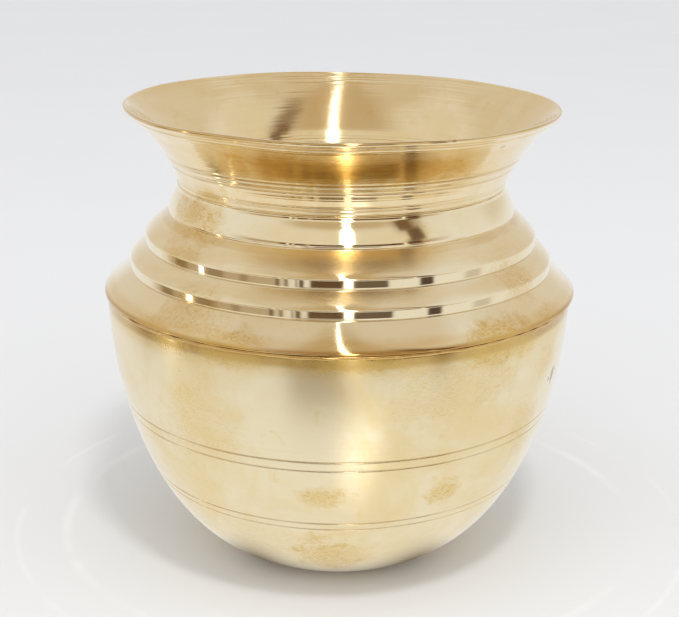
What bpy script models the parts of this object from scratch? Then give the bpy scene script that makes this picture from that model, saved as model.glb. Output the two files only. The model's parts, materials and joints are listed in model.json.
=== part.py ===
"""Brass kalash pot: a round-bottomed water pot of spun brass sheet.

Three turned shells are lapped and brazed into one vessel: a flared mouth
with its neck, a ribbed shoulder, and a deep lower bowl that ends in a small
flat base. Each lap is filled outside by a bead of brazing metal.

Frame: metres, +Z up, origin at the centre of the flat base, and Z is the
axis that every piece was turned on.
"""

import math

import bmesh
import bpy
from mathutils import Matrix, Vector

MM = 0.001

# ---------------------------------------------------------------- dimensions
# Everything here is in millimetres. Radii are measured to the outer skin.
SEGMENTS = 48             # facets round each turned piece
WALL = 1.0                # thickness of the brass sheet
GAP = 0.3                 # clearance between neighbouring pieces

HEIGHT = 118.4            # base to the top of the mouth
MOUTH_RADIUS = 55.0       # outer edge of the lip
LIP_FLAT = 0.9            # width of the flat turned on top of the lip
LIP_BAND = 0.7            # upright edge of the lip
FLARE_POWER = 1.65        # how late the neck opens towards the lip

WAIST_RADIUS = 41.9       # narrowest part of the neck
WAIST_Z = 98.6            # height at which the flare's curve begins
NECK_FOOT = 99.3          # lower edge of the neck, above its braze
NECK_SPIGOT_OUT = 40.75   # turned-in end of the neck, inside the collar
NECK_SPIGOT_WALL = 0.8
NECK_SPIGOT_BOTTOM = 93.6

COLLAR_TOP = 97.9         # upper edge of the ribbed shoulder
COLLAR_OUT = 42.15
RIB_A = (44.4, 93.4, 91.9)      # radius, height where it turns upright, foot
RIB_B = (50.0, 86.8, 84.0)
RIB_C = (54.0, 80.8, 78.0)
RIB_D = (60.4, 72.7, 71.95)     # the shoulder's broad last band
RIB_NIP = 0.25            # how far each band turns in at its foot

BOWL_TOP = 70.7           # where the bowl's outer skin meets the braze
BOWL_RADIUS = 59.2
BOWL_DEPTH = 72.3         # depth at which the bowl's curve would close
BOWL_CURVE_IN = 1.75      # exponents of the bowl's rounded section
BOWL_CURVE_OUT = 0.328
BOWL_SPIGOT_OUT = 58.3    # turned-in end of the bowl, inside the shoulder
BOWL_SPIGOT_WALL = 0.8
BOWL_SPIGOT_TOP = 73.9
BASE_THICK = 1.4          # sheet left at the flat base


# ------------------------------------------------------------------ profiles
def bowl_radius(z):
    """Outer radius of the lower bowl at height z."""
    u = min(max((BOWL_TOP - z) / BOWL_DEPTH, 0.0), 1.0)
    return BOWL_RADIUS * (1.0 - u ** BOWL_CURVE_IN) ** BOWL_CURVE_OUT


def flare_radius(z):
    """Outer radius of the mouth and neck at height z."""
    top = HEIGHT - LIP_BAND
    t = min(max((z - WAIST_Z) / (top - WAIST_Z), 0.0), 1.0)
    return WAIST_RADIUS + (MOUTH_RADIUS - WAIST_RADIUS) * t ** FLARE_POWER


def quarter(r0, z0, r1, z1, steps):
    """A quarter ellipse that leaves (r0, z0) level and reaches (r1, z1)
    running straight down. The first point is left out."""
    points = []
    for i in range(1, steps + 1):
        a = 0.5 * math.pi * i / steps
        points.append((r0 + (r1 - r0) * math.sin(a),
                       z1 + (z0 - z1) * math.cos(a)))
    return points


def offset_inwards(points, distance):
    """The same open line moved towards the axis. The line runs from top to
    bottom down the outer skin."""
    moved = []
    count = len(points)
    for i, point in enumerate(points):
        here = Vector(point)
        before = Vector(points[i - 1]) if i else None
        after = Vector(points[i + 1]) if i < count - 1 else None
        normals = []
        for a, b in ((before, here), (here, after)):
            if a is None or b is None:
                continue
            d = (b - a).normalized()
            normals.append(Vector((d.y, -d.x)))
        n = sum(normals, Vector((0.0, 0.0)))
        n.normalize()
        reach = distance / max(n.dot(normals[0]), 0.75)
        moved.append((here.x + n.x * reach, here.y + n.y * reach))
    return moved


def mouth_profile():
    """Closed section of the mouth and neck."""
    steps = 9
    top = HEIGHT - LIP_BAND
    outer = [(MOUTH_RADIUS, HEIGHT)]
    for i in range(steps + 1):
        z = top + (NECK_FOOT - top) * i / steps
        outer.append((flare_radius(z), z))
    spigot_in = NECK_SPIGOT_OUT - NECK_SPIGOT_WALL
    step = [(NECK_SPIGOT_OUT, NECK_FOOT - 0.3),
            (NECK_SPIGOT_OUT, NECK_SPIGOT_BOTTOM),
            (spigot_in, NECK_SPIGOT_BOTTOM),
            (spigot_in, NECK_FOOT + 0.4)]
    inner = []
    for i in range(steps - 1, 0, -1):
        z = top + (NECK_FOOT - top) * i / steps
        slope = (flare_radius(z + 0.05) - flare_radius(z - 0.05)) / 0.1
        length = math.hypot(1.0, slope)
        inner.append((flare_radius(z) - WALL / length, z + WALL * slope / length))
    inner = [p for p in inner if p[1] < HEIGHT - 0.6 and p[0] < MOUTH_RADIUS - LIP_FLAT]
    return outer + step + inner + [(MOUTH_RADIUS - LIP_FLAT, HEIGHT)]


def shoulder_profile():
    """Closed section of the ribbed shoulder, collar to skirt."""
    outer = [(COLLAR_OUT, COLLAR_TOP)]
    r, z = COLLAR_OUT, COLLAR_TOP
    for (radius, upright, foot), steps in ((RIB_A, 3), (RIB_B, 5), (RIB_C, 4)):
        outer += quarter(r, z, radius, upright, steps)
        outer.append((radius, foot + 0.7))
        outer.append((radius - RIB_NIP, foot))
        r, z = radius - RIB_NIP, foot
    radius, upright, foot = RIB_D
    outer += quarter(r, z, radius, upright, 6)
    outer.append((radius, foot))
    inner = offset_inwards(outer, WALL)
    inner[0] = (COLLAR_OUT - WALL, COLLAR_TOP)
    inner[-1] = (radius - WALL, foot)
    return outer + inner[::-1]


def bowl_profile():
    """Open section of the lower bowl, from the axis at the base round to
    the axis inside."""
    steps = 15
    heights = [BOWL_TOP * (1.0 - math.cos(0.5 * math.pi * i / steps))
               for i in range(steps + 1)]
    outer = [(0.0, 0.0)] + [(bowl_radius(z), z) for z in heights]
    spigot_in = BOWL_SPIGOT_OUT - BOWL_SPIGOT_WALL
    step = [(BOWL_SPIGOT_OUT, BOWL_TOP + 0.25),
            (BOWL_SPIGOT_OUT, BOWL_SPIGOT_TOP),
            (spigot_in, BOWL_SPIGOT_TOP),
            (spigot_in, BOWL_TOP - 0.3)]
    inner = []
    for z in reversed(heights[2:-1]):
        slope = (bowl_radius(z + 0.05) - bowl_radius(z - 0.05)) / 0.1
        length = math.hypot(1.0, slope)
        inner.append((bowl_radius(z) - WALL / length, z + WALL * slope / length))
    inner = [p for p in inner if p[1] > BASE_THICK + 0.15]
    inner.append((bowl_radius(0.0) - 0.8, BASE_THICK))
    return outer + step + inner + [(0.0, BASE_THICK)]


def bead_profile(r_in, r_out, z_low, z_high, crown):
    """Closed section of a brazed bead: flat inside, crowned outside."""
    mid = 0.5 * (z_low + z_high)
    return [(r_in, z_high), (r_out, z_high), (r_out + crown, mid),
            (r_out, z_low), (r_in, z_low)]


# -------------------------------------------------------------------- solids
def brass(name, colour, roughness):
    material = bpy.data.materials.new(name)
    material.use_nodes = True
    shader = next(n for n in material.node_tree.nodes
                  if n.type == 'BSDF_PRINCIPLED')
    shader.inputs['Base Color'].default_value = (*colour, 1.0)
    shader.inputs['Metallic'].default_value = 1.0
    shader.inputs['Roughness'].default_value = roughness
    return material


def turned(name, profile, closed, material):
    """Spin a section (mm) about the Z axis into one closed solid."""
    bm = bmesh.new()
    verts = [bm.verts.new((r * MM, 0.0, z * MM)) for r, z in profile]
    edges = [bm.edges.new((a, b)) for a, b in zip(verts[:-1], verts[1:])]
    if closed:
        edges.append(bm.edges.new((verts[-1], verts[0])))
    bmesh.ops.spin(bm, geom=verts + edges, cent=(0.0, 0.0, 0.0),
                   axis=(0.0, 0.0, 1.0), angle=2.0 * math.pi,
                   steps=SEGMENTS, use_merge=True, use_duplicate=False)
    bmesh.ops.remove_doubles(bm, verts=bm.verts[:], dist=1e-6)
    bmesh.ops.dissolve_degenerate(bm, dist=1e-6, edges=bm.edges[:])
    bmesh.ops.recalc_face_normals(bm, faces=bm.faces[:])
    mesh = bpy.data.meshes.new(name)
    bm.to_mesh(mesh)
    bm.free()
    mesh.shade_smooth()
    mesh.set_sharp_from_angle(angle=math.radians(35.0))
    mesh.materials.append(material)
    obj = bpy.data.objects.new(name, mesh)
    bpy.context.scene.collection.objects.link(obj)
    return obj


def build():
    for old in list(bpy.data.objects):
        bpy.data.objects.remove(old, do_unlink=True)

    axis = bpy.data.objects.new('pot_axis', None)
    axis.matrix_world = Matrix.Identity(4)
    bpy.context.scene.collection.objects.link(axis)

    mouth_brass = brass('mouth_brass', (0.83, 0.66, 0.37), 0.16)
    shoulder_brass = brass('shoulder_brass', (0.86, 0.70, 0.42), 0.12)
    bowl_brass = brass('bowl_brass', (0.85, 0.69, 0.41), 0.18)
    neck_filler = brass('neck_filler', (0.66, 0.47, 0.22), 0.38)
    shoulder_filler = brass('shoulder_filler', (0.62, 0.42, 0.17), 0.42)

    pieces = [
        turned('mouth_and_neck', mouth_profile(), True, mouth_brass),
        turned('ribbed_shoulder', shoulder_profile(), True, shoulder_brass),
        turned('lower_bowl', bowl_profile(), False, bowl_brass),
        turned('neck_braze', bead_profile(
            NECK_SPIGOT_OUT + GAP, COLLAR_OUT - 0.25,
            COLLAR_TOP + GAP, NECK_FOOT - 0.3 - GAP, 0.15), True, neck_filler),
        turned('shoulder_braze', bead_profile(
            BOWL_SPIGOT_OUT + GAP, BOWL_RADIUS + 0.45,
            BOWL_TOP + GAP, RIB_D[2] - GAP, 0.15), True, shoulder_filler),
    ]
    for piece in pieces:
        piece.parent = axis


build()
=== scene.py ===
"""The looks of the brass kalash pot: fine turned skins, brazed beads, brass
materials, a white light tent, the floor and the camera.

Lengths in this file are in millimetres until a mesh is made.
"""
import json
import math

import bpy
import numpy as np
from mathutils import Matrix, Vector

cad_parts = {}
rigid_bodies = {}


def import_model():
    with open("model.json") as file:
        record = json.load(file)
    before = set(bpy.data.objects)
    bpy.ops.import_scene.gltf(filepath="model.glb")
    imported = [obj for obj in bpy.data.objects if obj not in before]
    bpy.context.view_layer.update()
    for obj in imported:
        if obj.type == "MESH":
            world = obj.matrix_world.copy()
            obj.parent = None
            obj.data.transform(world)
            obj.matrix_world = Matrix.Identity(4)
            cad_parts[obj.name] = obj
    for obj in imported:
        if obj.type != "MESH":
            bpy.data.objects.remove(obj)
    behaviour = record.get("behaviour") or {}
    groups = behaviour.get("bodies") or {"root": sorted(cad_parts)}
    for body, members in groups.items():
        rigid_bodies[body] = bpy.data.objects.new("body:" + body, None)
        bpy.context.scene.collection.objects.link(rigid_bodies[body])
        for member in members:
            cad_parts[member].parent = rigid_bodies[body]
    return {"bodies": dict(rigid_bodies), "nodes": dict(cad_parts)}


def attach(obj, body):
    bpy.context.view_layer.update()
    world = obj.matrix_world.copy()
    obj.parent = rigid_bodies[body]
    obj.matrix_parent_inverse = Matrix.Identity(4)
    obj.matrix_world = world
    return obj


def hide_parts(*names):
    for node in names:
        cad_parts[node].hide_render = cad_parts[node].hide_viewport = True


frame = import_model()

MM = 0.001
SEG = 288                      # facets round each turned skin

kept = set(frame["nodes"].values()) | set(frame["bodies"].values())
for old in list(bpy.data.objects):
    if old not in kept:
        bpy.data.objects.remove(old, do_unlink=True)
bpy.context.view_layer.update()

scene = bpy.context.scene
scene.view_settings.view_transform = 'Standard'
scene.view_settings.look = 'None'
scene.view_settings.exposure = 0.0
scene.view_settings.gamma = 1.0


# ============================================================ turned profiles
HEIGHT = 118.4
LIP_R = 55.0
LIP_TOP = 117.7                # where the lip's upright edge ends
WAIST_R, WAIST_Z = 41.9, 98.6
JOINT = 99.2                   # where the neck meets the shoulder's collar
RIB_A = (44.4, 92.5, 91.9)     # radius, upright from, foot
RIB_B = (50.0, 86.5, 84.0)
RIB_C = (54.0, 80.4, 78.0)
RIB_D = (60.4, 72.25, 71.95)
BOWL_TOP, BOWL_R, BOWL_DEPTH = 70.7, 59.2, 72.3


def flare(z):
    t = min(max((z - WAIST_Z) / (LIP_TOP - WAIST_Z), 0.0), 1.0)
    return WAIST_R + (LIP_R - WAIST_R) * t ** 1.65


def bowl(z):
    u = min(max((BOWL_TOP - z) / BOWL_DEPTH, 0.0), 1.0)
    return BOWL_R * (1.0 - u ** 1.75) ** 0.328


def cuts(z, marks):
    """How deep the turned lines go at height z."""
    return sum(d * math.exp(-((z - z0) / w) ** 2) for z0, d, w in marks)


def heights(a, b, step, marks=(), fine=0.09, reach=0.5):
    """Heights from a down to b, closer together at the turned lines."""
    out, z = [], a
    while z > b + 1e-6:
        out.append(z)
        near = any(abs(z - m[0]) < reach for m in marks)
        z -= fine if near else step
    out.append(b)
    return out


def arc(cx, cz, r, a0, a1, n):
    return [(cx + r * math.cos(math.radians(a0 + (a1 - a0) * i / n)),
             cz + r * math.sin(math.radians(a0 + (a1 - a0) * i / n)))
            for i in range(n + 1)]


NECK_LINES = [(117.05, 0.10, 0.15), (116.35, 0.24, 0.22), (115.5, 0.05, 0.14),
              (107.3, 0.15, 0.17), (106.3, 0.13, 0.15), (105.1, 0.10, 0.12),
              (104.5, 0.18, 0.18), (101.1, 0.12, 0.14), (100.4, 0.14, 0.14),
              (99.4, 0.08, 0.12)]
MOUTH_LINES = [(117.1, 0.07, 0.14), (116.55, 0.09, 0.14), (115.6, 0.06, 0.12),
               (113.2, 0.03, 0.12), (109.6, 0.04, 0.12), (106.2, 0.03, 0.12),
               (102.4, 0.05, 0.14), (101.5, 0.04, 0.12)]


def chatter(z, seed):
    """The tool's fine chatter, in mm."""
    return (0.0045 * math.sin(8.3 * z + seed) + 0.0035 * math.sin(13.1 * z + 2.1 * seed)
            + 0.0060 * math.sin(3.1 * z + 0.7 * seed))


def mouth_section():
    lip = arc(LIP_R - 0.22, HEIGHT - 0.22, 0.22, 90, 0, 6)
    outer = lip + arc(LIP_R - 0.18, LIP_TOP + 0.18, 0.18, 0, -42, 4)
    for z in heights(LIP_TOP - 0.12, JOINT + 0.06, 0.125, NECK_LINES, 0.075, 0.35):
        outer.append((flare(z) - cuts(z, NECK_LINES) + 0.8 * chatter(z, 1.0), z))
    foot = [(flare(JOINT) - 0.05, JOINT + 0.01), (flare(JOINT) - 0.2, JOINT)]
    spigot = [(40.75, JOINT), (40.75, 95.2), (40.7, 93.7), (40.6, 93.6),
              (40.05, 93.6), (39.95, 93.7), (39.95, 96.0), (39.95, JOINT + 0.2)]
    inner = []
    for z in reversed(heights(LIP_TOP, JOINT + 0.4, 0.19, MOUTH_LINES, 0.09, 0.3)):
        s = (flare(z + .05) - flare(z - .05)) / .1
        length = math.hypot(1.0, s)
        r, zi = flare(z) - 1.0 / length, z + s / length
        if zi < HEIGHT - 0.25 and r < LIP_R - 0.95:
            inner.append((r + cuts(zi, MOUTH_LINES) + 0.7 * chatter(zi, 4.0), zi))
    edge = arc(LIP_R - 0.9 + 0.18, HEIGHT - 0.18, 0.18, 150, 90, 4)
    return outer + foot + spigot, inner + edge


def resampled(points, step):
    """The same line with points an even distance apart."""
    p = np.array(points)
    d = np.concatenate([[0], np.cumsum(np.hypot(*np.diff(p, axis=0).T))])
    n = max(int(round(d[-1] / step)), 2)
    s = np.linspace(0, d[-1], n + 1)
    return [(float(a), float(b)) for a, b in
            zip(np.interp(s, d, p[:, 0]), np.interp(s, d, p[:, 1]))]


LEAN = {RIB_B: 0.88, RIB_C: 0.77, RIB_D: 0.76}    # fall of each band's cone


def rib_line(r0, z0, rib, steps=60):
    """From the foot above (r0, z0), down the band's cone and round its edge."""
    radius, upright, foot = rib
    bend = z0 - LEAN[rib] * (radius - r0)
    pts = []
    for i in range(steps + 1):
        t = i / steps
        pts.append(((1 - t) ** 2 * r0 + (1 - (1 - t) ** 2) * radius,
                    (1 - t) ** 2 * z0 + 2 * t * (1 - t) * bend + t * t * upright))
    return pts


COLLAR_TOP = 98.85


def shoulder_section():
    top = 42.0
    outer = [(top - 0.25, COLLAR_TOP - 0.03), (top - 0.06, COLLAR_TOP), (top - 0.01, COLLAR_TOP - 0.1)]
    r, z = top, COLLAR_TOP - 0.25
    while z > RIB_A[1] + 0.05:              # the first band swells out of the waist
        if z > 97.9:
            slope = 0.60 * (COLLAR_TOP - 0.25 - z) / (COLLAR_TOP - 0.25 - 97.9)
        elif z < 93.2:
            slope = 0.30 * (z - RIB_A[1]) / (93.2 - RIB_A[1])
        else:
            slope = 0.30 + 0.30 * (z - 93.2) / 4.7
        r, z = r + slope * 0.1, z - 0.1
        outer.append((r, z))
    r = z = None
    for rib in (RIB_A, RIB_B, RIB_C):
        radius, upright, foot = rib
        if r is not None:
            outer += rib_line(r, z, rib)
        outer += arc(radius - 0.38, foot + 0.36, 0.38, 0, -62, 9)
        outer += [(radius - 0.28, foot + 0.01)]
        r, z = radius - 0.3, foot
    radius, upright, foot = RIB_D
    outer += rib_line(r, z, RIB_D)
    outer += arc(radius - 0.22, foot + 0.22, 0.22, 0, -90, 6)
    skin = resampled(outer, 0.165)
    for _ in range(2):
        skin = skin[:1] + [(0.25 * a[0] + 0.5 * b[0] + 0.25 * c[0], 0.25 * a[1] + 0.5 * b[1] + 0.25 * c[1])
                           for a, b, c in zip(skin, skin[1:], skin[2:])] + skin[-1:]
    inner = []
    for i in range(len(skin)):
        a, b = skin[max(i - 3, 0)], skin[min(i + 3, len(skin) - 1)]
        n = Vector((b[1] - a[1], -(b[0] - a[0]))).normalized()
        inner.append((skin[i][0] + n.x * 0.95, skin[i][1] + n.y * 0.95))
    inner = inner[8:-5:5]
    inner = [(r, z) for r, z in inner if z < 98.2] + [(RIB_D[0] - 0.95, foot + 0.05)]
    return skin, inner[::-1] + [(top - 0.9, COLLAR_TOP - 0.1)]


BOWL_LINES = [(44.56, 0.17, 0.20), (42.16, 0.15, 0.18), (26.20, 0.17, 0.20), (24.28, 0.15, 0.18),
              (43.4, -0.02, 0.5), (25.2, -0.02, 0.4)]


def bowl_section():
    outer = [(58.3, 73.8), (58.35, 73.9 - 0.2), (58.3, 72.0), (58.3, 71.1), (58.45, 70.95),
             (58.9, 70.93), (59.1, 70.85), (59.18, 70.72)]
    for z in heights(70.5, 3.0, 0.5, BOWL_LINES[:4], 0.085, 0.45):
        outer.append((bowl(z) - cuts(z, BOWL_LINES), z))
    for z in (2.5, 2.0, 1.6, 1.25, 0.95, 0.7, 0.5):
        outer.append((bowl(z), z))
    r0 = bowl(0.0)
    outer += [(r0 + 0.55, 0.2), (r0 + 0.25, 0.07), (r0 - 0.1, 0.015), (r0 - 0.6, 0.0)]
    r = r0 - 1.0
    rings = [(16.5, 0.10, 0.2), (11.0, 0.08, 0.2), (3.4, 0.10, 0.2)]
    while r > 0.5:
        outer.append((r, sum(d * math.exp(-((r - q) / w) ** 2) for q, d, w in rings)
                      + 0.35 * math.exp(-(r / 0.9) ** 2)))
        r -= 0.14 if any(abs(r - q[0]) < 0.5 for q in rings) or r < 2.4 else 0.7
    inner = [(0.4, 1.4)]
    for r in (5.0, 10.0, 15.0, r0 - 0.8):
        inner.append((r, 1.4))
    for z in [0.9, 1.6, 2.6, 4, 6, 8, 11, 14, 18, 22, 26, 31, 36, 42, 48, 55, 62, 67, 70.0]:
        s = (bowl(z + .05) - bowl(z - .05)) / .1
        length = math.hypot(1.0, s)
        if z + s / length > 1.8:
            inner.append((bowl(z) - 1.0 / length, z + s / length))
    inner += [(57.6, 70.6), (57.5, 71.2), (57.5, 73.7), (57.6, 73.9)]
    return outer, inner


def bead_section(r_in, r_out, z_low, z_high, crown):
    """An outline of a brazed bead: flat inside, rounded outside."""
    mid, half = 0.5 * (z_low + z_high), 0.5 * (z_high - z_low)
    face = [(r_out - 0.1 + (0.1 + crown) * math.cos(math.radians(a)),
             mid + half * math.sin(math.radians(a))) for a in range(80, -81, -10)]
    return [(r_in, z_high - 0.02), (r_out - 0.3, z_high)] + face + \
        [(r_out - 0.3, z_low), (r_in, z_low + 0.02)], [(r_in, mid)]


# ============================================================== turned skins
def waves(seed, count, low, high):
    """A repeatable smooth wobble round the pot, about +-1."""
    rng = np.random.default_rng(seed)
    f = rng.integers(low, high, count)
    p = rng.uniform(0, 2 * np.pi, count)
    q = rng.uniform(-0.25, 0.25, count)
    a = rng.uniform(0.5, 1.0, count) / math.sqrt(count) * 1.3

    def value(theta, z):
        return sum(a[i] * np.sin(f[i] * theta + p[i] + q[i] * z) for i in range(count))
    return value


def ease(x):
    x = np.clip(x, 0, 1)
    return x * x * (3 - 2 * x)


def skin(name, section, closed, shape, material):
    """Turns a section into a mesh and lets shape() move its points a little."""
    outer, inner = section
    prof = np.array(list(outer) + list(inner), float)
    m = len(prof)
    length = np.concatenate([[0], np.cumsum(np.hypot(*np.diff(prof, axis=0).T))])
    theta = np.linspace(0, 2 * np.pi, SEG, endpoint=False)
    R = np.repeat(prof[:, 0], SEG)
    Z = np.repeat(prof[:, 1], SEG)
    T = np.tile(theta, m)
    dr, dz, shift = shape(R, Z, T)
    R = R + dr
    co = np.stack([R * np.cos(T) + shift, R * np.sin(T), Z + dz], -1) * MM
    i = np.arange(m if closed else m - 1)
    j = np.arange(SEG)
    I, J = np.meshgrid(i, j, indexing='ij')
    I2, J2 = (I + 1) % m, (J + 1) % SEG
    faces = np.stack([I * SEG + J, I2 * SEG + J, I2 * SEG + J2, I * SEG + J2], -1).reshape(-1, 4)
    verts = co.tolist()
    faces = faces.tolist()
    mesh = bpy.data.meshes.new(name)
    mesh.from_pydata(verts, [], faces)
    arcs = np.repeat(length, SEG)
    attribute = mesh.attributes.new("arc", 'FLOAT', 'POINT')
    attribute.data.foreach_set("value", arcs.astype(np.float32))
    mesh.shade_smooth()
    mesh.set_sharp_from_angle(angle=math.radians(50))
    mesh.materials.append(material)
    obj = bpy.data.objects.new(name, mesh)
    scene.collection.objects.link(obj)
    return obj


def close_axis(obj, first_ring, last_ring, z_first, z_last, arc_first, arc_last):
    """Fans that close a turned skin at its axis."""
    import bmesh
    bm = bmesh.new()
    bm.from_mesh(obj.data)
    bm.verts.ensure_lookup_table()
    layer = bm.verts.layers.float.get("arc")
    for ring, z, value in ((first_ring, z_first, arc_first), (last_ring, z_last, arc_last)):
        centre = bm.verts.new((0.0, 0.0, z * MM))
        centre[layer] = value
        bm.verts.ensure_lookup_table()
        for j in range(SEG):
            f = bm.faces.new((bm.verts[ring * SEG + j], bm.verts[ring * SEG + (j + 1) % SEG], centre))
            f.smooth = True
    bmesh.ops.recalc_face_normals(bm, faces=bm.faces[:])
    bm.to_mesh(obj.data)
    bm.free()


def turn_faces_out(obj):
    import bmesh
    bm = bmesh.new()
    bm.from_mesh(obj.data)
    bmesh.ops.recalc_face_normals(bm, faces=bm.faces[:])
    bm.to_mesh(obj.data)
    bm.free()


# ================================================================== node help
class Tree:
    def __init__(self, tree):
        self.t = tree

    def new(self, kind, **props):
        n = self.t.nodes.new(kind)
        for k, v in props.items():
            setattr(n, k, v)
        return n

    def put(self, socket, value):
        if isinstance(value, bpy.types.NodeSocket):
            self.t.links.new(value, socket)
        elif value is not None:
            socket.default_value = value

    def math(self, op, a, b=None, c=None, clamp=False):
        n = self.new('ShaderNodeMath', operation=op, use_clamp=clamp)
        for s, v in zip(n.inputs, (a, b, c)):
            self.put(s, v)
        return n.outputs[0]

    def vec(self, op, a, b=None, scale=None):
        n = self.new('ShaderNodeVectorMath', operation=op)
        self.put(n.inputs[0], a)
        if b is not None:
            self.put(n.inputs[1], b)
        if scale is not None:
            self.put(n.inputs['Scale'], scale)
        return n.outputs['Value'] if op in ('LENGTH', 'DISTANCE', 'DOT_PRODUCT') else n.outputs[0]

    def noise(self, vector, scale=1.0, detail=2.0, rough=0.5, distort=0.0):
        n = self.new('ShaderNodeTexNoise')
        self.put(n.inputs['Vector'], vector)
        n.inputs['Scale'].default_value = scale
        n.inputs['Detail'].default_value = detail
        n.inputs['Roughness'].default_value = rough
        n.inputs['Distortion'].default_value = distort
        return n.outputs[0]

    def smooth(self, value, lo, hi, to_lo=0.0, to_hi=1.0):
        n = self.new('ShaderNodeMapRange', interpolation_type='SMOOTHSTEP')
        for s, v in zip(n.inputs, (value, lo, hi, to_lo, to_hi)):
            self.put(s, v)
        return n.outputs[0]

    def mix(self, factor, a, b, blend='MIX'):
        n = self.new('ShaderNodeMix', data_type='RGBA', blend_type=blend)
        self.put(n.inputs[0], factor)
        self.put(n.inputs[6], a)
        self.put(n.inputs[7], b)
        return n.outputs[2]

    def add(self, *values):
        total = values[0]
        for v in values[1:]:
            total = self.math('ADD', total, v)
        return total

    def times(self, *values):
        total = values[0]
        for v in values[1:]:
            total = self.math('MULTIPLY', total, v)
        return total


def rgb(r, g, b):
    return (r, g, b, 1.0)


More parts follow.
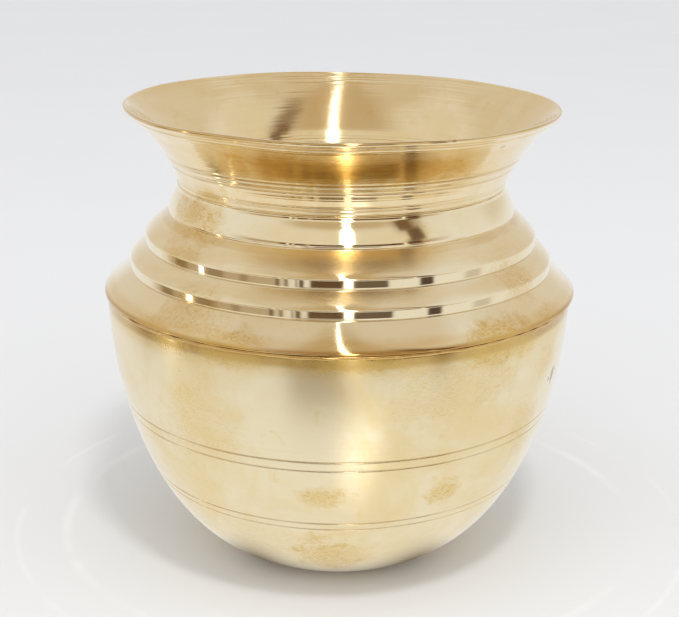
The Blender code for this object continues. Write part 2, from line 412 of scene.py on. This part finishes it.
# ==================================================================== brass
def brass(name, colour, deep, rough, cloud=0.10, lines=0.5, line_scale=2.2, spots=(),
          anisotropic=0.5, low_tint=None, patina=0.25, orange=0.3, stain_and_reflection_tint=(0.73, 0.47, 0.12),
          bands=(), outside=None, coat=0.6, dull=()):
    """Turned and buffed brass. colour is the clean metal and deep the metal
    where the lacquer and the polish have gone gold. spots are heat stains and
    nicks, but the wide flat spots on the neck's front are a painted dark
    reflection: (centre in mm, reach in mm, strength, height stretch). bands
    are tints that run all the way round: (height from, to, softness, colour,
    strength, how much it comes and goes). dull names heights that the buff
    polished less: (from, to, softness, added roughness)."""
    m = bpy.data.materials.new(name)
    m.use_nodes = True
    t = Tree(m.node_tree)
    p = next(n for n in m.node_tree.nodes if n.type == 'BSDF_PRINCIPLED')
    coord = t.new('ShaderNodeTexCoord').outputs['Object']
    pos = t.vec('SCALE', coord, scale=1000.0)
    xyz = t.new('ShaderNodeSeparateXYZ')
    t.put(xyz.inputs[0], pos)
    x, y, z = xyz.outputs
    arcv = t.new('ShaderNodeAttribute', attribute_name='arc').outputs['Fac']
    r = t.math('SQRT', t.add(t.times(x, x), t.times(y, y)))
    r = t.math('MAXIMUM', r, 0.5)
    ring = t.new('ShaderNodeCombineXYZ')
    t.put(ring.inputs[0], t.math('DIVIDE', x, r))
    t.put(ring.inputs[1], t.math('DIVIDE', y, r))
    t.put(ring.inputs[2], t.times(arcv, line_scale))
    ring = ring.outputs[0]

    fine = t.noise(ring, 1.0, 4.0, 0.65)                  # turning lines
    broad = t.noise(t.vec('MULTIPLY', ring, (1.6, 1.6, 0.16)), 1.0, 2.0, 0.5)
    cloudy = t.noise(pos, 0.045, 4.0, 0.6, 0.6)           # buffing clouds
    blotch = t.noise(pos, 0.16, 5.0, 0.65, 0.8)
    speck = t.noise(pos, 0.9, 3.0, 0.6, 0.3)

    # ---- colour
    base = t.mix(t.smooth(cloudy, 0.35, 0.70, 0.0, patina), rgb(*colour), rgb(*deep))
    base = t.mix(t.times(t.smooth(blotch, 0.56, 0.76), patina * 0.9), base, rgb(*deep))
    base = t.mix(t.smooth(fine, 0.50, 0.80, 0.0, 0.35 * lines), base, rgb(*deep))
    # deeper gold towards the bottom of the bowl
    if low_tint:
        a, b, amount = low_tint
        base = t.mix(t.smooth(t.add(z, t.times(blotch, 6.0)), a, b, amount, 0.0), base, rgb(*deep))
    drift = t.noise(t.vec('MULTIPLY', ring, (2.2, 2.2, 0.12)), 1.0, 3.0, 0.6, 0.5)
    for z0, z1, soft, tint, amount, come_go in bands:
        zz = t.add(z, t.math('MULTIPLY_ADD', blotch, come_go * soft * 3.0, -come_go * soft * 1.5))
        mask = t.times(t.smooth(zz, z0 - soft, z0 + soft), t.smooth(zz, z1 - soft, z1 + soft, 1.0, 0.0),
                       t.smooth(drift, 0.32, 0.62, amount * (1.0 - come_go), amount))
        if outside is not None:
            mask = t.times(mask, t.smooth(arcv, outside - 0.3, outside, 1.0, 0.0))
        base = t.mix(mask, base, rgb(*tint))
    # painted shade: the inside of the mouth is painted a darker gold
    if outside is not None:
        base = t.mix(t.smooth(arcv, outside, outside + 1.0, 0.0, 0.22), base, rgb(0.80, 0.59, 0.29))
    stain_and_reflection_mask = None
    for centre, reach, strength, stretch in spots:
        d = t.vec('SUBTRACT', pos, tuple(centre))
        d = t.vec('MULTIPLY', d, (1.0 / reach, 1.0 / reach, stretch / reach))
        d = t.vec('LENGTH', d)
        wild = 1.7 if reach > 3.5 else 0.5
        d = t.add(d, t.math('MULTIPLY_ADD', blotch, wild, -0.5 * wild))
        mask = t.smooth(d, 0.35, 1.05, strength, 0.0)
        if reach > 3.5:
            stain_and_reflection_mask = mask if stain_and_reflection_mask is None else t.math('MAXIMUM', stain_and_reflection_mask, mask)
        else:
            base = t.mix(mask, base, rgb(0.17, 0.09, 0.035))    # a nick or a burnt speck
    # wide spots: heat stains, and on the neck's front a painted dark reflection
    if stain_and_reflection_mask is not None:
        fleck = t.noise(t.vec('MULTIPLY', pos, (0.55, 0.55, 1.1)), 1.0, 4.0, 0.7, 1.6)
        stain_and_reflection_mask = t.times(stain_and_reflection_mask, t.smooth(fleck, 0.36, 0.60, 0.45 if outside is None else 0.9, 1.0))
        if outside is not None:
            stain_and_reflection_mask = t.times(stain_and_reflection_mask, t.smooth(arcv, outside - 0.3, outside, 1.0, 0.0))
        base = t.mix(stain_and_reflection_mask, base, rgb(*stain_and_reflection_tint))
        base = t.mix(t.times(stain_and_reflection_mask, t.smooth(fleck, 0.52, 0.66, 0.0, 0.6)), base,
                     rgb(0.78 * stain_and_reflection_tint[0], 0.70 * stain_and_reflection_tint[1], 0.6 * stain_and_reflection_tint[2]))
    t.put(p.inputs['Base Color'], base)
    p.inputs['Metallic'].default_value = 1.0

    # ---- roughness
    rgh = t.add(t.math('MULTIPLY_ADD', cloudy, cloud, rough - 0.5 * cloud),
                t.math('MULTIPLY_ADD', fine, 0.10 * lines, -0.05 * lines),
                t.math('MULTIPLY_ADD', speck, 0.05, -0.025))
    if stain_and_reflection_mask is not None:
        rgh = t.add(rgh, t.times(stain_and_reflection_mask, 0.03 if outside is not None else 0.08))
    if outside is not None:                                  # brushed, not buffed, inside
        rgh = t.add(rgh, t.smooth(arcv, outside, outside + 1.0, 0.0, 0.05))
    for z0, z1, soft, amount in dull:
        rgh = t.add(rgh, t.times(t.smooth(z, z0 - soft, z0 + soft), t.smooth(z, z1 - soft, z1 + soft, 1.0, 0.0), amount))
    t.put(p.inputs['Roughness'], t.math('MAXIMUM', rgh, 0.03))
    p.inputs['Coat Weight'].default_value = coat            # clear lacquer
    p.inputs['Coat Roughness'].default_value = 0.07
    p.inputs['Anisotropic'].default_value = anisotropic
    p.inputs['Anisotropic Rotation'].default_value = 0.25
    tangent = t.new('ShaderNodeTangent', direction_type='RADIAL', axis='Z')
    t.put(p.inputs['Tangent'], tangent.outputs[0])

    # ---- bump: turning lines, then a little orange peel
    height = t.add(t.times(fine, 0.6 * lines), t.times(broad, 1.4 * lines),
                   t.times(speck, 0.35 * orange))
    b = t.new('ShaderNodeBump')
    b.inputs['Strength'].default_value = 1.0
    b.inputs['Distance'].default_value = 0.000012
    t.put(b.inputs['Height'], height)
    t.put(p.inputs['Normal'], b.outputs[0])
    return m


CREAM = (0.905, 0.800, 0.560)
GOLD = (0.830, 0.640, 0.300)
def outside_length(section):
    """How far along a skin its outside runs before it turns in."""
    pts = np.array(section[0])
    d = np.concatenate([[0], np.cumsum(np.hypot(*np.diff(pts, axis=0).T))])
    return float(d[int(np.argmax(pts[:, 0] < 41.5))])


mouth_brass = brass(
    'brass_mouth', (0.90, 0.765, 0.505), (0.79, 0.57, 0.24), 0.080, cloud=0.05, lines=1.0,
    line_scale=2.4, anisotropic=0.45, patina=0.50, outside=outside_length(mouth_section()),
    # the broad golden band on the flare (106.6 to 113.6) is partly patina and partly painted reflection
    bands=[(106.6, 113.6, 0.7, (0.80, 0.57, 0.20), 0.42, 0.3),
           (106.55, 107.0, 0.12, (0.45, 0.26, 0.08), 0.60, 0.3),
           (104.35, 104.65, 0.12, (0.60, 0.40, 0.16), 0.5, 0.3),
           (117.80, 119.5, 0.10, (0.62, 0.40, 0.13), 0.85, 0.05),
           (116.2, 116.45, 0.12, (0.60, 0.38, 0.12), 0.5, 0.2)],
    spots=[((-31, -29, 99.5), 9, 0.75, 1.6), ((37, -36, 114.4), 1.1, 0.5, 1.6),
           ((25, -49, 118.0), 0.8, 0.5, 1.6), ((-12, -41, 103), 16, 0.20, 1.8),
           # painted reflection: the four wide, flat spots on the neck's front paint a dark reflection, not
           # stains
           ((-8, -47, 110.6), 24, 1.0, 5.0), ((16, -45, 110.6), 22, 0.95, 5.0),
           ((0, -48, 112.0), 30, 0.55, 5.0),
           ((-1, -48, 110.2), 15, 1.0, 4.0)])
shoulder_brass = brass(
    'brass_shoulder', (0.91, 0.795, 0.555), (0.82, 0.62, 0.29), 0.065, cloud=0.05, lines=0.35,
    line_scale=2.0, anisotropic=0.25, patina=0.30, orange=0.4,
    dull=[(87.6, 91.9, 0.5, 0.17), (81.4, 83.9, 0.5, 0.14)],
    bands=[(86.6, 90.0, 0.9, (0.82, 0.60, 0.28), 0.40, 0.8),
           (90.3, 92.2, 0.35, (0.70, 0.47, 0.18), 0.50, 0.8),
           (81.4, 83.3, 0.7, (0.80, 0.58, 0.26), 0.30, 0.8),
           (72.6, 74.6, 0.8, (0.78, 0.53, 0.20), 0.55, 0.6),
           (70.0, 72.9, 0.4, (0.50, 0.27, 0.05), 0.96, 0.25),
           (83.85, 84.10, 0.10, (0.34, 0.19, 0.07), 0.55, 0.4),
           (77.85, 78.10, 0.10, (0.34, 0.19, 0.07), 0.55, 0.4)],
    spots=[((-35, -26, 94), 13, 0.80, 1.6), ((-34, -46, 77), 13, 0.55, 1.6),
           ((-38, -32, 87), 9, 0.6, 2.0),
           ((-25, -54, 73), 12, 0.75, 3.0), ((43, -31, 82), 10, 0.50, 1.3),
           ((38, -47, 72.8), 13, 0.85, 2.6), ((-42, -42, 72.2), 11, 0.65, 3.5),
           ((18, -40, 95), 5, 0.40, 1.0), ((50, -33, 72.4), 10, 0.6, 3.0),
           ((19.4, -56.2, 75.5), 1.2, 0.7, 0.8), ((22.0, -55.2, 75.3), 1.0, 0.6, 0.8)])
bowl_brass = brass(
    'brass_bowl', (0.90, 0.79, 0.545), (0.84, 0.655, 0.30), 0.25, cloud=0.10, lines=0.5,
    line_scale=1.3, anisotropic=0.4, low_tint=(2.0, 34.0, 0.50), patina=0.72,
    stain_and_reflection_tint=(0.76, 0.53, 0.15),
    bands=[(68.6, 75.0, 0.8, (0.44, 0.24, 0.04), 0.98, 0.15),
           (66.5, 75.0, 1.6, (0.80, 0.58, 0.22), 0.55, 0.6),
           (44.42, 44.70, 0.08, (0.46, 0.30, 0.11), 0.50, 0.9),
           (42.02, 42.30, 0.08, (0.46, 0.30, 0.11), 0.50, 0.9),
           (26.06, 26.34, 0.08, (0.46, 0.30, 0.11), 0.50, 0.9),
           (24.14, 24.42, 0.08, (0.46, 0.30, 0.11), 0.50, 0.9)],
    spots=[((-25, -54, 69.8), 12, 0.60, 3.2), ((-38, -45, 69.8), 9, 0.5, 3.0),
           ((37, -46, 69.5), 16, 0.85, 3.0), ((4, -59, 70.2), 18, 0.8, 5.0), ((22, -54, 63), 15, 0.30, 1.2),
           ((36, -46, 62), 9, 0.35, 1.0), ((50, -30, 62), 6, 0.35, 1.0),
           ((-3, -53, 34.5), 7.5, 0.70, 2.0), ((-1.5, -42, 14), 12, 0.85, 1.1),
           ((25, -46, 34), 5.5, 0.80, 1.0), ((-18, -40, 17), 14, 0.22, 1.2),
           ((-33, -47, 50), 16, 0.22, 1.0), ((45, -34, 44), 7, 0.35, 0.7),
           ((52.9, -23.3, 55.2), 1.5, 0.9, 0.5), ((53.6, -21.5, 56.2), 1.0, 0.8, 1.5),
           ((51.9, -25.6, 54.6), 0.9, 0.7, 1.5)])
filler = brass(
    'braze_filler', (0.74, 0.50, 0.17), (0.50, 0.28, 0.08), 0.26, cloud=0.15, lines=0.2,
    line_scale=1.0, anisotropic=0.0, patina=0.8, orange=3.0)
neck_solder = brass(
    'neck_filler_polished', (0.86, 0.69, 0.40), (0.66, 0.44, 0.18), 0.14, cloud=0.1, lines=0.4,
    line_scale=1.5, anisotropic=0.1, patina=0.7, orange=1.0)


# ============================================================ pieces
wob_a, wob_b, wob_c = waves(11, 7, 2, 9), waves(12, 9, 3, 14), waves(13, 8, 2, 10)
rough_1, rough_2, rough_3 = waves(21, 14, 18, 90), waves(22, 14, 12, 70), waves(23, 10, 5, 30)


def mouth_shape(r, z, t):
    w = ease((z - 101.0) / 16.0)
    side = np.clip(np.cos(t), 0, 1) ** 2
    dr = 0.55 * side * np.exp(-((z - 106.0) / 5.5) ** 2) + 0.05 * wob_a(t, z) * w \
        + 0.02 * wob_b(t, 1.5 * z) * ease((z - 99.0) / 3.0)
    dr = dr - 1.05 * np.clip(-np.cos(t), 0, 1) ** 2 * ease((z - 97.5) / 1.5)
    dz = -math.tan(math.radians(0.40)) * r * np.cos(t) * ease((z - 104.0) / 13.0) \
        + 0.10 * wob_c(t, 0 * z) * w
    return dr, dz, 0.0


def shoulder_shape(r, z, t):
    dr = 0.035 * wob_b(t, z) + 0.03 * wob_c(t, 0.6 * z)
    flat = (0.45 + 0.3 * ease((z - 73.0) / 5.0) + 0.3 * ease((z - 86.0) / 6.0))
    dr = dr - flat * np.clip(-np.cos(t), 0, 1) ** 2
    dz = 0.03 * wob_a(t, 0 * z)
    return dr * ease((z - 71.0) / 1.5), dz * ease((z - 72.5) / 3.0), 0.0


def bowl_shape(r, z, t):
    fade = ease(z / 12.0)
    dr = (0.05 * wob_a(t, 0.5 * z) + 0.03 * wob_b(t, 0.4 * z)) * fade
    return dr, 0 * dr, 0.0


def bead_shape(height, left=0.25):
    def shape(r, z, t):
        out = ease((r - (r.max() - 0.9)) / 0.8)
        dr = out * height * (0.10 * rough_1(t, 0 * z) + 0.10 * rough_3(t, 0 * z))
        dr = dr - left * np.clip(-np.cos(t), 0, 1) ** 2 * ease((r - 41.0) / 0.6)
        return dr, 0.07 * height * rough_2(t, 0 * z) * out, 0.0
    return shape


def settle(obj, node):
    turn_faces_out(obj)
    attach(obj, "root")
    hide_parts(node)
    return obj


settle(skin('mouth_and_neck_skin', mouth_section(), True, mouth_shape, mouth_brass),
       'mouth_and_neck')
settle(skin('ribbed_shoulder_skin', shoulder_section(), True, shoulder_shape, shoulder_brass),
       'ribbed_shoulder')
bowl_out, bowl_in = bowl_section()
bowl_obj = skin('lower_bowl_skin', (bowl_in + bowl_out, []), False, bowl_shape, bowl_brass)
ring_last = len(bowl_in) + len(bowl_out) - 1
close_axis(bowl_obj, 0, ring_last, 1.4, 0.36, 0.0, 400.0)
settle(bowl_obj, 'lower_bowl')
settle(skin('neck_braze_bead', bead_section(41.05, 41.97, COLLAR_TOP + 0.01, JOINT - 0.01, 0.02), True,
            bead_shape(0.3, 1.05), neck_solder), 'neck_braze')
settle(skin('shoulder_braze_bead', bead_section(58.6, 59.85, 70.95, 71.75, 0.15), True,
            bead_shape(1.0), filler), 'shoulder_braze')


# ============================================================ floor and tent
def floor_material():
    m = bpy.data.materials.new('pale_floor')
    m.use_nodes = True
    t = Tree(m.node_tree)
    p = next(n for n in m.node_tree.nodes if n.type == 'BSDF_PRINCIPLED')
    pos = t.vec('SCALE', t.new('ShaderNodeTexCoord').outputs['Object'], scale=1000.0)
    soft = t.noise(pos, 0.01, 2.0, 0.5)
    # faint brighter rings round the pot: painted caustic light thrown by the brass
    dist = t.vec('DISTANCE', pos, (4.0, 14.0, 0.0))
    rings = t.add(t.times(t.smooth(dist, 77, 79), t.smooth(dist, 79, 82, 1.0, 0.0)),
                  t.times(t.smooth(dist, 91, 92.5), t.smooth(dist, 92.5, 94, 1.0, 0.0), 0.7))
    rings = t.times(rings, t.smooth(t.noise(pos, 0.03, 2.0, 0.5), 0.42, 0.62))
    worn = t.mix(soft, rgb(0.765, 0.768, 0.772), rgb(0.79, 0.793, 0.797))
    t.put(p.inputs['Base Color'], t.mix(t.times(rings, 0.35), worn, rgb(0.92, 0.92, 0.92)))
    t.put(p.inputs['Roughness'], t.math('MULTIPLY_ADD', soft, 0.1, 0.30))
    p.inputs['Specular IOR Level'].default_value = 0.0
    return m


bpy.ops.mesh.primitive_plane_add(size=6.0, location=(0, 0, 0))
floor = bpy.context.active_object
floor.name = 'floor'
floor.data.materials.append(floor_material())
floor.visible_glossy = False


def card(name, corner, side, up, colour, strength, opacity=1.0, soft=0.3):
    """A soft-edged card that shows only in the brass's reflections."""
    c, s, u = Vector(corner) * MM, Vector(side) * MM, Vector(up) * MM
    mesh = bpy.data.meshes.new(name)
    mesh.from_pydata([c, c + s, c + s + u, c + u], [], [(0, 1, 2, 3)])
    uv = mesh.uv_layers.new(name='UVMap')
    for loop, w in zip(uv.data, ((0, 0), (1, 0), (1, 1), (0, 1))):
        loop.uv = w
    m = bpy.data.materials.new(name)
    m.use_nodes = True
    m.node_tree.nodes.clear()
    t = Tree(m.node_tree)
    xy = t.new('ShaderNodeSeparateXYZ')
    t.put(xy.inputs[0], t.new('ShaderNodeTexCoord').outputs['UV'])
    mask = None
    for v in xy.outputs[:2]:
        d = t.math('ABSOLUTE', t.math('MULTIPLY_ADD', v, 2.0, -1.0))
        e = t.smooth(d, 1.0 - soft, 1.0, 1.0, 0.0)
        mask = e if mask is None else t.times(mask, e)
    em = t.new('ShaderNodeEmission')
    em.inputs[0].default_value = rgb(*colour)
    em.inputs[1].default_value = strength
    clear = t.new('ShaderNodeBsdfTransparent')
    mixer = t.new('ShaderNodeMixShader')
    t.put(mixer.inputs[0], t.times(mask, opacity))
    t.put(mixer.inputs[1], clear.outputs[0])
    t.put(mixer.inputs[2], em.outputs[0])
    out = t.new('ShaderNodeOutputMaterial')
    t.put(out.inputs[0], mixer.outputs[0])
    obj = bpy.data.objects.new(name, mesh)
    mesh.materials.append(m)
    scene.collection.objects.link(obj)
    obj.visible_camera = False
    obj.visible_diffuse = False
    obj.visible_shadow = False
    obj.visible_transmission = False
    obj.visible_volume_scatter = False
    return obj


# the pot's own shade underneath, seen in the lowest part of the bowl
card('under_shade', (-37, -38.5, 0.3), (74, 0, 0), (0, 84, 0), (0.10, 0.06, 0.015), 1.0, 0.95, 0.5)


def tent():
    w = bpy.data.worlds.new('light_tent')
    scene.world = w
    w.use_nodes = True
    w.node_tree.nodes.clear()
    t = Tree(w.node_tree)
    direction = t.new('ShaderNodeTexCoord').outputs['Generated']
    s = t.new('ShaderNodeSeparateXYZ')
    t.put(s.inputs[0], direction)
    x, y, z = s.outputs
    deg = 180.0 / math.pi
    az = t.times(t.math('ARCTAN2', x, t.times(y, -1.0)), deg)
    el = t.times(t.math('ARCSINE', z), deg)
    colour = t.mix(t.smooth(el, -10, 75), rgb(0.86, 0.86, 0.86), rgb(0.80, 0.80, 0.80))
    colour = t.mix(t.smooth(el, -60, -14, 0.0, 1.0), rgb(0.93, 0.92, 0.90), colour)
    patches = [
        # az from, to, el from, to, soft az, soft el, colour, opacity
        # -- the back of the tent, then the warm room over its open front
        (114, 182, 4, 64, 10, 8, (0.66, 0.57, 0.43), 0.55),
        (-182, -110, 4, 64, 10, 8, (0.66, 0.57, 0.43), 0.55),
        (-125, 128, 60, 92, 25, 6, (0.60, 0.48, 0.32), 0.5),
        (-44, 46, 38, 86, 18, 5, (0.57, 0.45, 0.29), 0.92),
        (-62, 66, 16, 38, 18, 5, (0.80, 0.74, 0.62), 0.80),
        (-66, 66, -2.5, 15, 14, 2, (0.46, 0.33, 0.18), 0.90),
        (-40, 42, -2.5, 13, 3, 2, (0.125, 0.07, 0.028), 0.95),
        (-35.2, -33.4, -2.5, 13, 0.6, 2, (1.3, 1.2, 0.95), 0.8),
        (-30.8, -29.6, -2.5, 13, 0.5, 2, (1.2, 1.1, 0.85), 0.8),
        (-21.5, -18.5, -2.5, 13, 0.8, 2, (0.62, 0.50, 0.30), 0.7),
        (34.5, 36, -2.5, 14, 0.6, 2, (0.06, 0.03, 0.01), 0.8),
        (42.5, 44, -3, 14, 0.6, 2, (1.5, 1.45, 1.2), 0.85),
        # -- the tent's front edge, a band at the height of the floor's far side
        (-116, -32, -20, -11, 8, 1.5, (0.46, 0.36, 0.24), 0.85),
        (-110, -100, -20, -10, 3, 1.5, (0.26, 0.19, 0.10), 0.8),
        (-83, -70, -20, -10, 3, 1.5, (0.26, 0.18, 0.10), 0.7),
        (-59, -54, -20, -10, 2, 1.5, (0.22, 0.15, 0.08), 0.5),
        (-37.5, -35, -22, -10, 0.8, 1.5, (0.12, 0.07, 0.03), 0.8),
        (-32, -29.5, -22, -10, 0.8, 1.5, (0.20, 0.13, 0.07), 0.8),
        (-25, -23.5, -22, -10, 0.6, 1.5, (0.20, 0.14, 0.08), 0.7),
        (-22.5, -19.5, -22, -10, 0.8, 1.5, (0.12, 0.07, 0.03), 0.95),
        (-15.5, 27, -20, -11, 1.0, 1.2, (0.11, 0.055, 0.02), 0.98),
        (8, 27, -18.5, -13, 2.5, 1.5, (0.17, 0.14, 0.11), 0.8),
        (47, 55.5, -22, -9, 1.4, 3, (0.06, 0.025, 0.012), 0.95),
        (45, 54, -3, 18, 1.6, 4, (0.10, 0.045, 0.02), 0.93),
        (48, 58, 17, 33, 1.6, 3, (0.10, 0.045, 0.02), 0.90),
        (44, 54, 32, 44, 1.6, 3, (0.12, 0.06, 0.03), 0.85),
        (42, 60, 32, 66, 6, 8, (0.20, 0.11, 0.04), 0.78),
        (76, 88, -20, -11, 3, 1.5, (0.45, 0.35, 0.24), 0.5),
        # -- soft shade and glow on the floor in front
        (-24, 7, -35, -21, 7, 5, (0.30, 0.225, 0.14), 0.88),
        (3, 24, -60, -40, 7, 7, (1.8, 1.75, 1.68), 0.75),
        # -- lamps: a tall window strip, a hot lamp in it, small lamps at the side
        (4.0, 8.2, -23, 16, 0.8, 3, (2.6, 2.55, 2.45), 0.95),
        (3.7, 8.6, 15, 90, 0.7, 3, (7.0, 6.95, 6.8), 0.96),
        (4.6, 7.8, -21, -6, 0.7, 2, (4.0, 3.9, 3.7), 0.9),
        (2.0, 10, 18, 38, 1.3, 4, (8.0, 7.9, 7.7), 0.95),
        (-89.0, -86.0, -19, -12, 0.8, 1.2, (6.0, 6.0, 5.9), 0.95),
    ]
    for a0, a1, e0, e1, sa, se, c, o in patches:
        mask = t.times(t.smooth(az, a0 - sa, a0 + sa), t.smooth(az, a1 - sa, a1 + sa, 1.0, 0.0),
                       t.smooth(el, e0 - se, e0 + se), t.smooth(el, e1 - se, e1 + se, 1.0, 0.0), o)
        colour = t.mix(mask, colour, rgb(*c))
    lit = t.new('ShaderNodeBackground')
    t.put(lit.inputs[0], colour)
    lit.inputs[1].default_value = 1.0
    plain = t.new('ShaderNodeBackground')
    t.put(plain.inputs[0], t.mix(t.smooth(y, -0.9, 0.7), rgb(1.54, 1.54, 1.55), rgb(0.51, 0.51, 0.52)))
    plain.inputs[1].default_value = 1.0
    mixer = t.new('ShaderNodeMixShader')
    t.put(mixer.inputs[0], t.new('ShaderNodeLightPath').outputs['Is Glossy Ray'])
    t.put(mixer.inputs[1], plain.outputs[0])
    t.put(mixer.inputs[2], lit.outputs[0])
    out = t.new('ShaderNodeOutputWorld')
    t.put(out.inputs[0], mixer.outputs[0])


tent()


def softbox(name, az, el, distance, size, power, colour=(1, 1, 1), aim=(0, 0, 0.06)):
    light = bpy.data.lights.new(name, 'AREA')
    light.shape = 'RECTANGLE'
    light.size, light.size_y = size
    light.energy = power
    light.color = colour
    obj = bpy.data.objects.new(name, light)
    scene.collection.objects.link(obj)
    a, e = math.radians(az), math.radians(el)
    back = Vector((math.sin(a) * math.cos(e), -math.cos(a) * math.cos(e), math.sin(e)))
    obj.location = Vector(aim) + back * distance
    obj.rotation_mode = 'QUATERNION'
    obj.rotation_quaternion = back.to_track_quat('Z', 'Y')
    return obj


key = softbox('key_softbox', 11, 59, 0.95, (0.10, 0.11), 2.4, (1.0, 1.0, 1.0))
key.visible_glossy = False

# ==================================================================== camera
PITCH, ROLL, YAW = math.radians(17.24), math.radians(0.507), math.radians(0.048)
cp, sp, cy, sy = math.cos(PITCH), math.sin(PITCH), math.cos(YAW), math.sin(YAW)
ahead = Vector((cp * sy, cp * cy, -sp))
right0 = Vector((cy, -sy, 0.0))
up0 = Vector((sp * sy, sp * cy, cp))
right = right0 * math.cos(ROLL) + up0 * math.sin(ROLL)
up = up0 * math.cos(ROLL) - right0 * math.sin(ROLL)
cam_data = bpy.data.cameras.new('camera')
cam = bpy.data.objects.new('camera', cam_data)
scene.collection.objects.link(cam)
cam_data.sensor_width = 36.0
cam_data.sensor_fit = 'HORIZONTAL'
cam_data.lens = 1440.0 * 36.0 / 679.0
cam_data.dof.use_dof = False
cam_data.clip_start, cam_data.clip_end = 0.01, 100.0
rot = Matrix((right, up, -ahead)).transposed().to_4x4()
cam.matrix_world = Matrix.Translation((0.0, -0.3594, 0.1759)) @ rot
scene.camera = cam
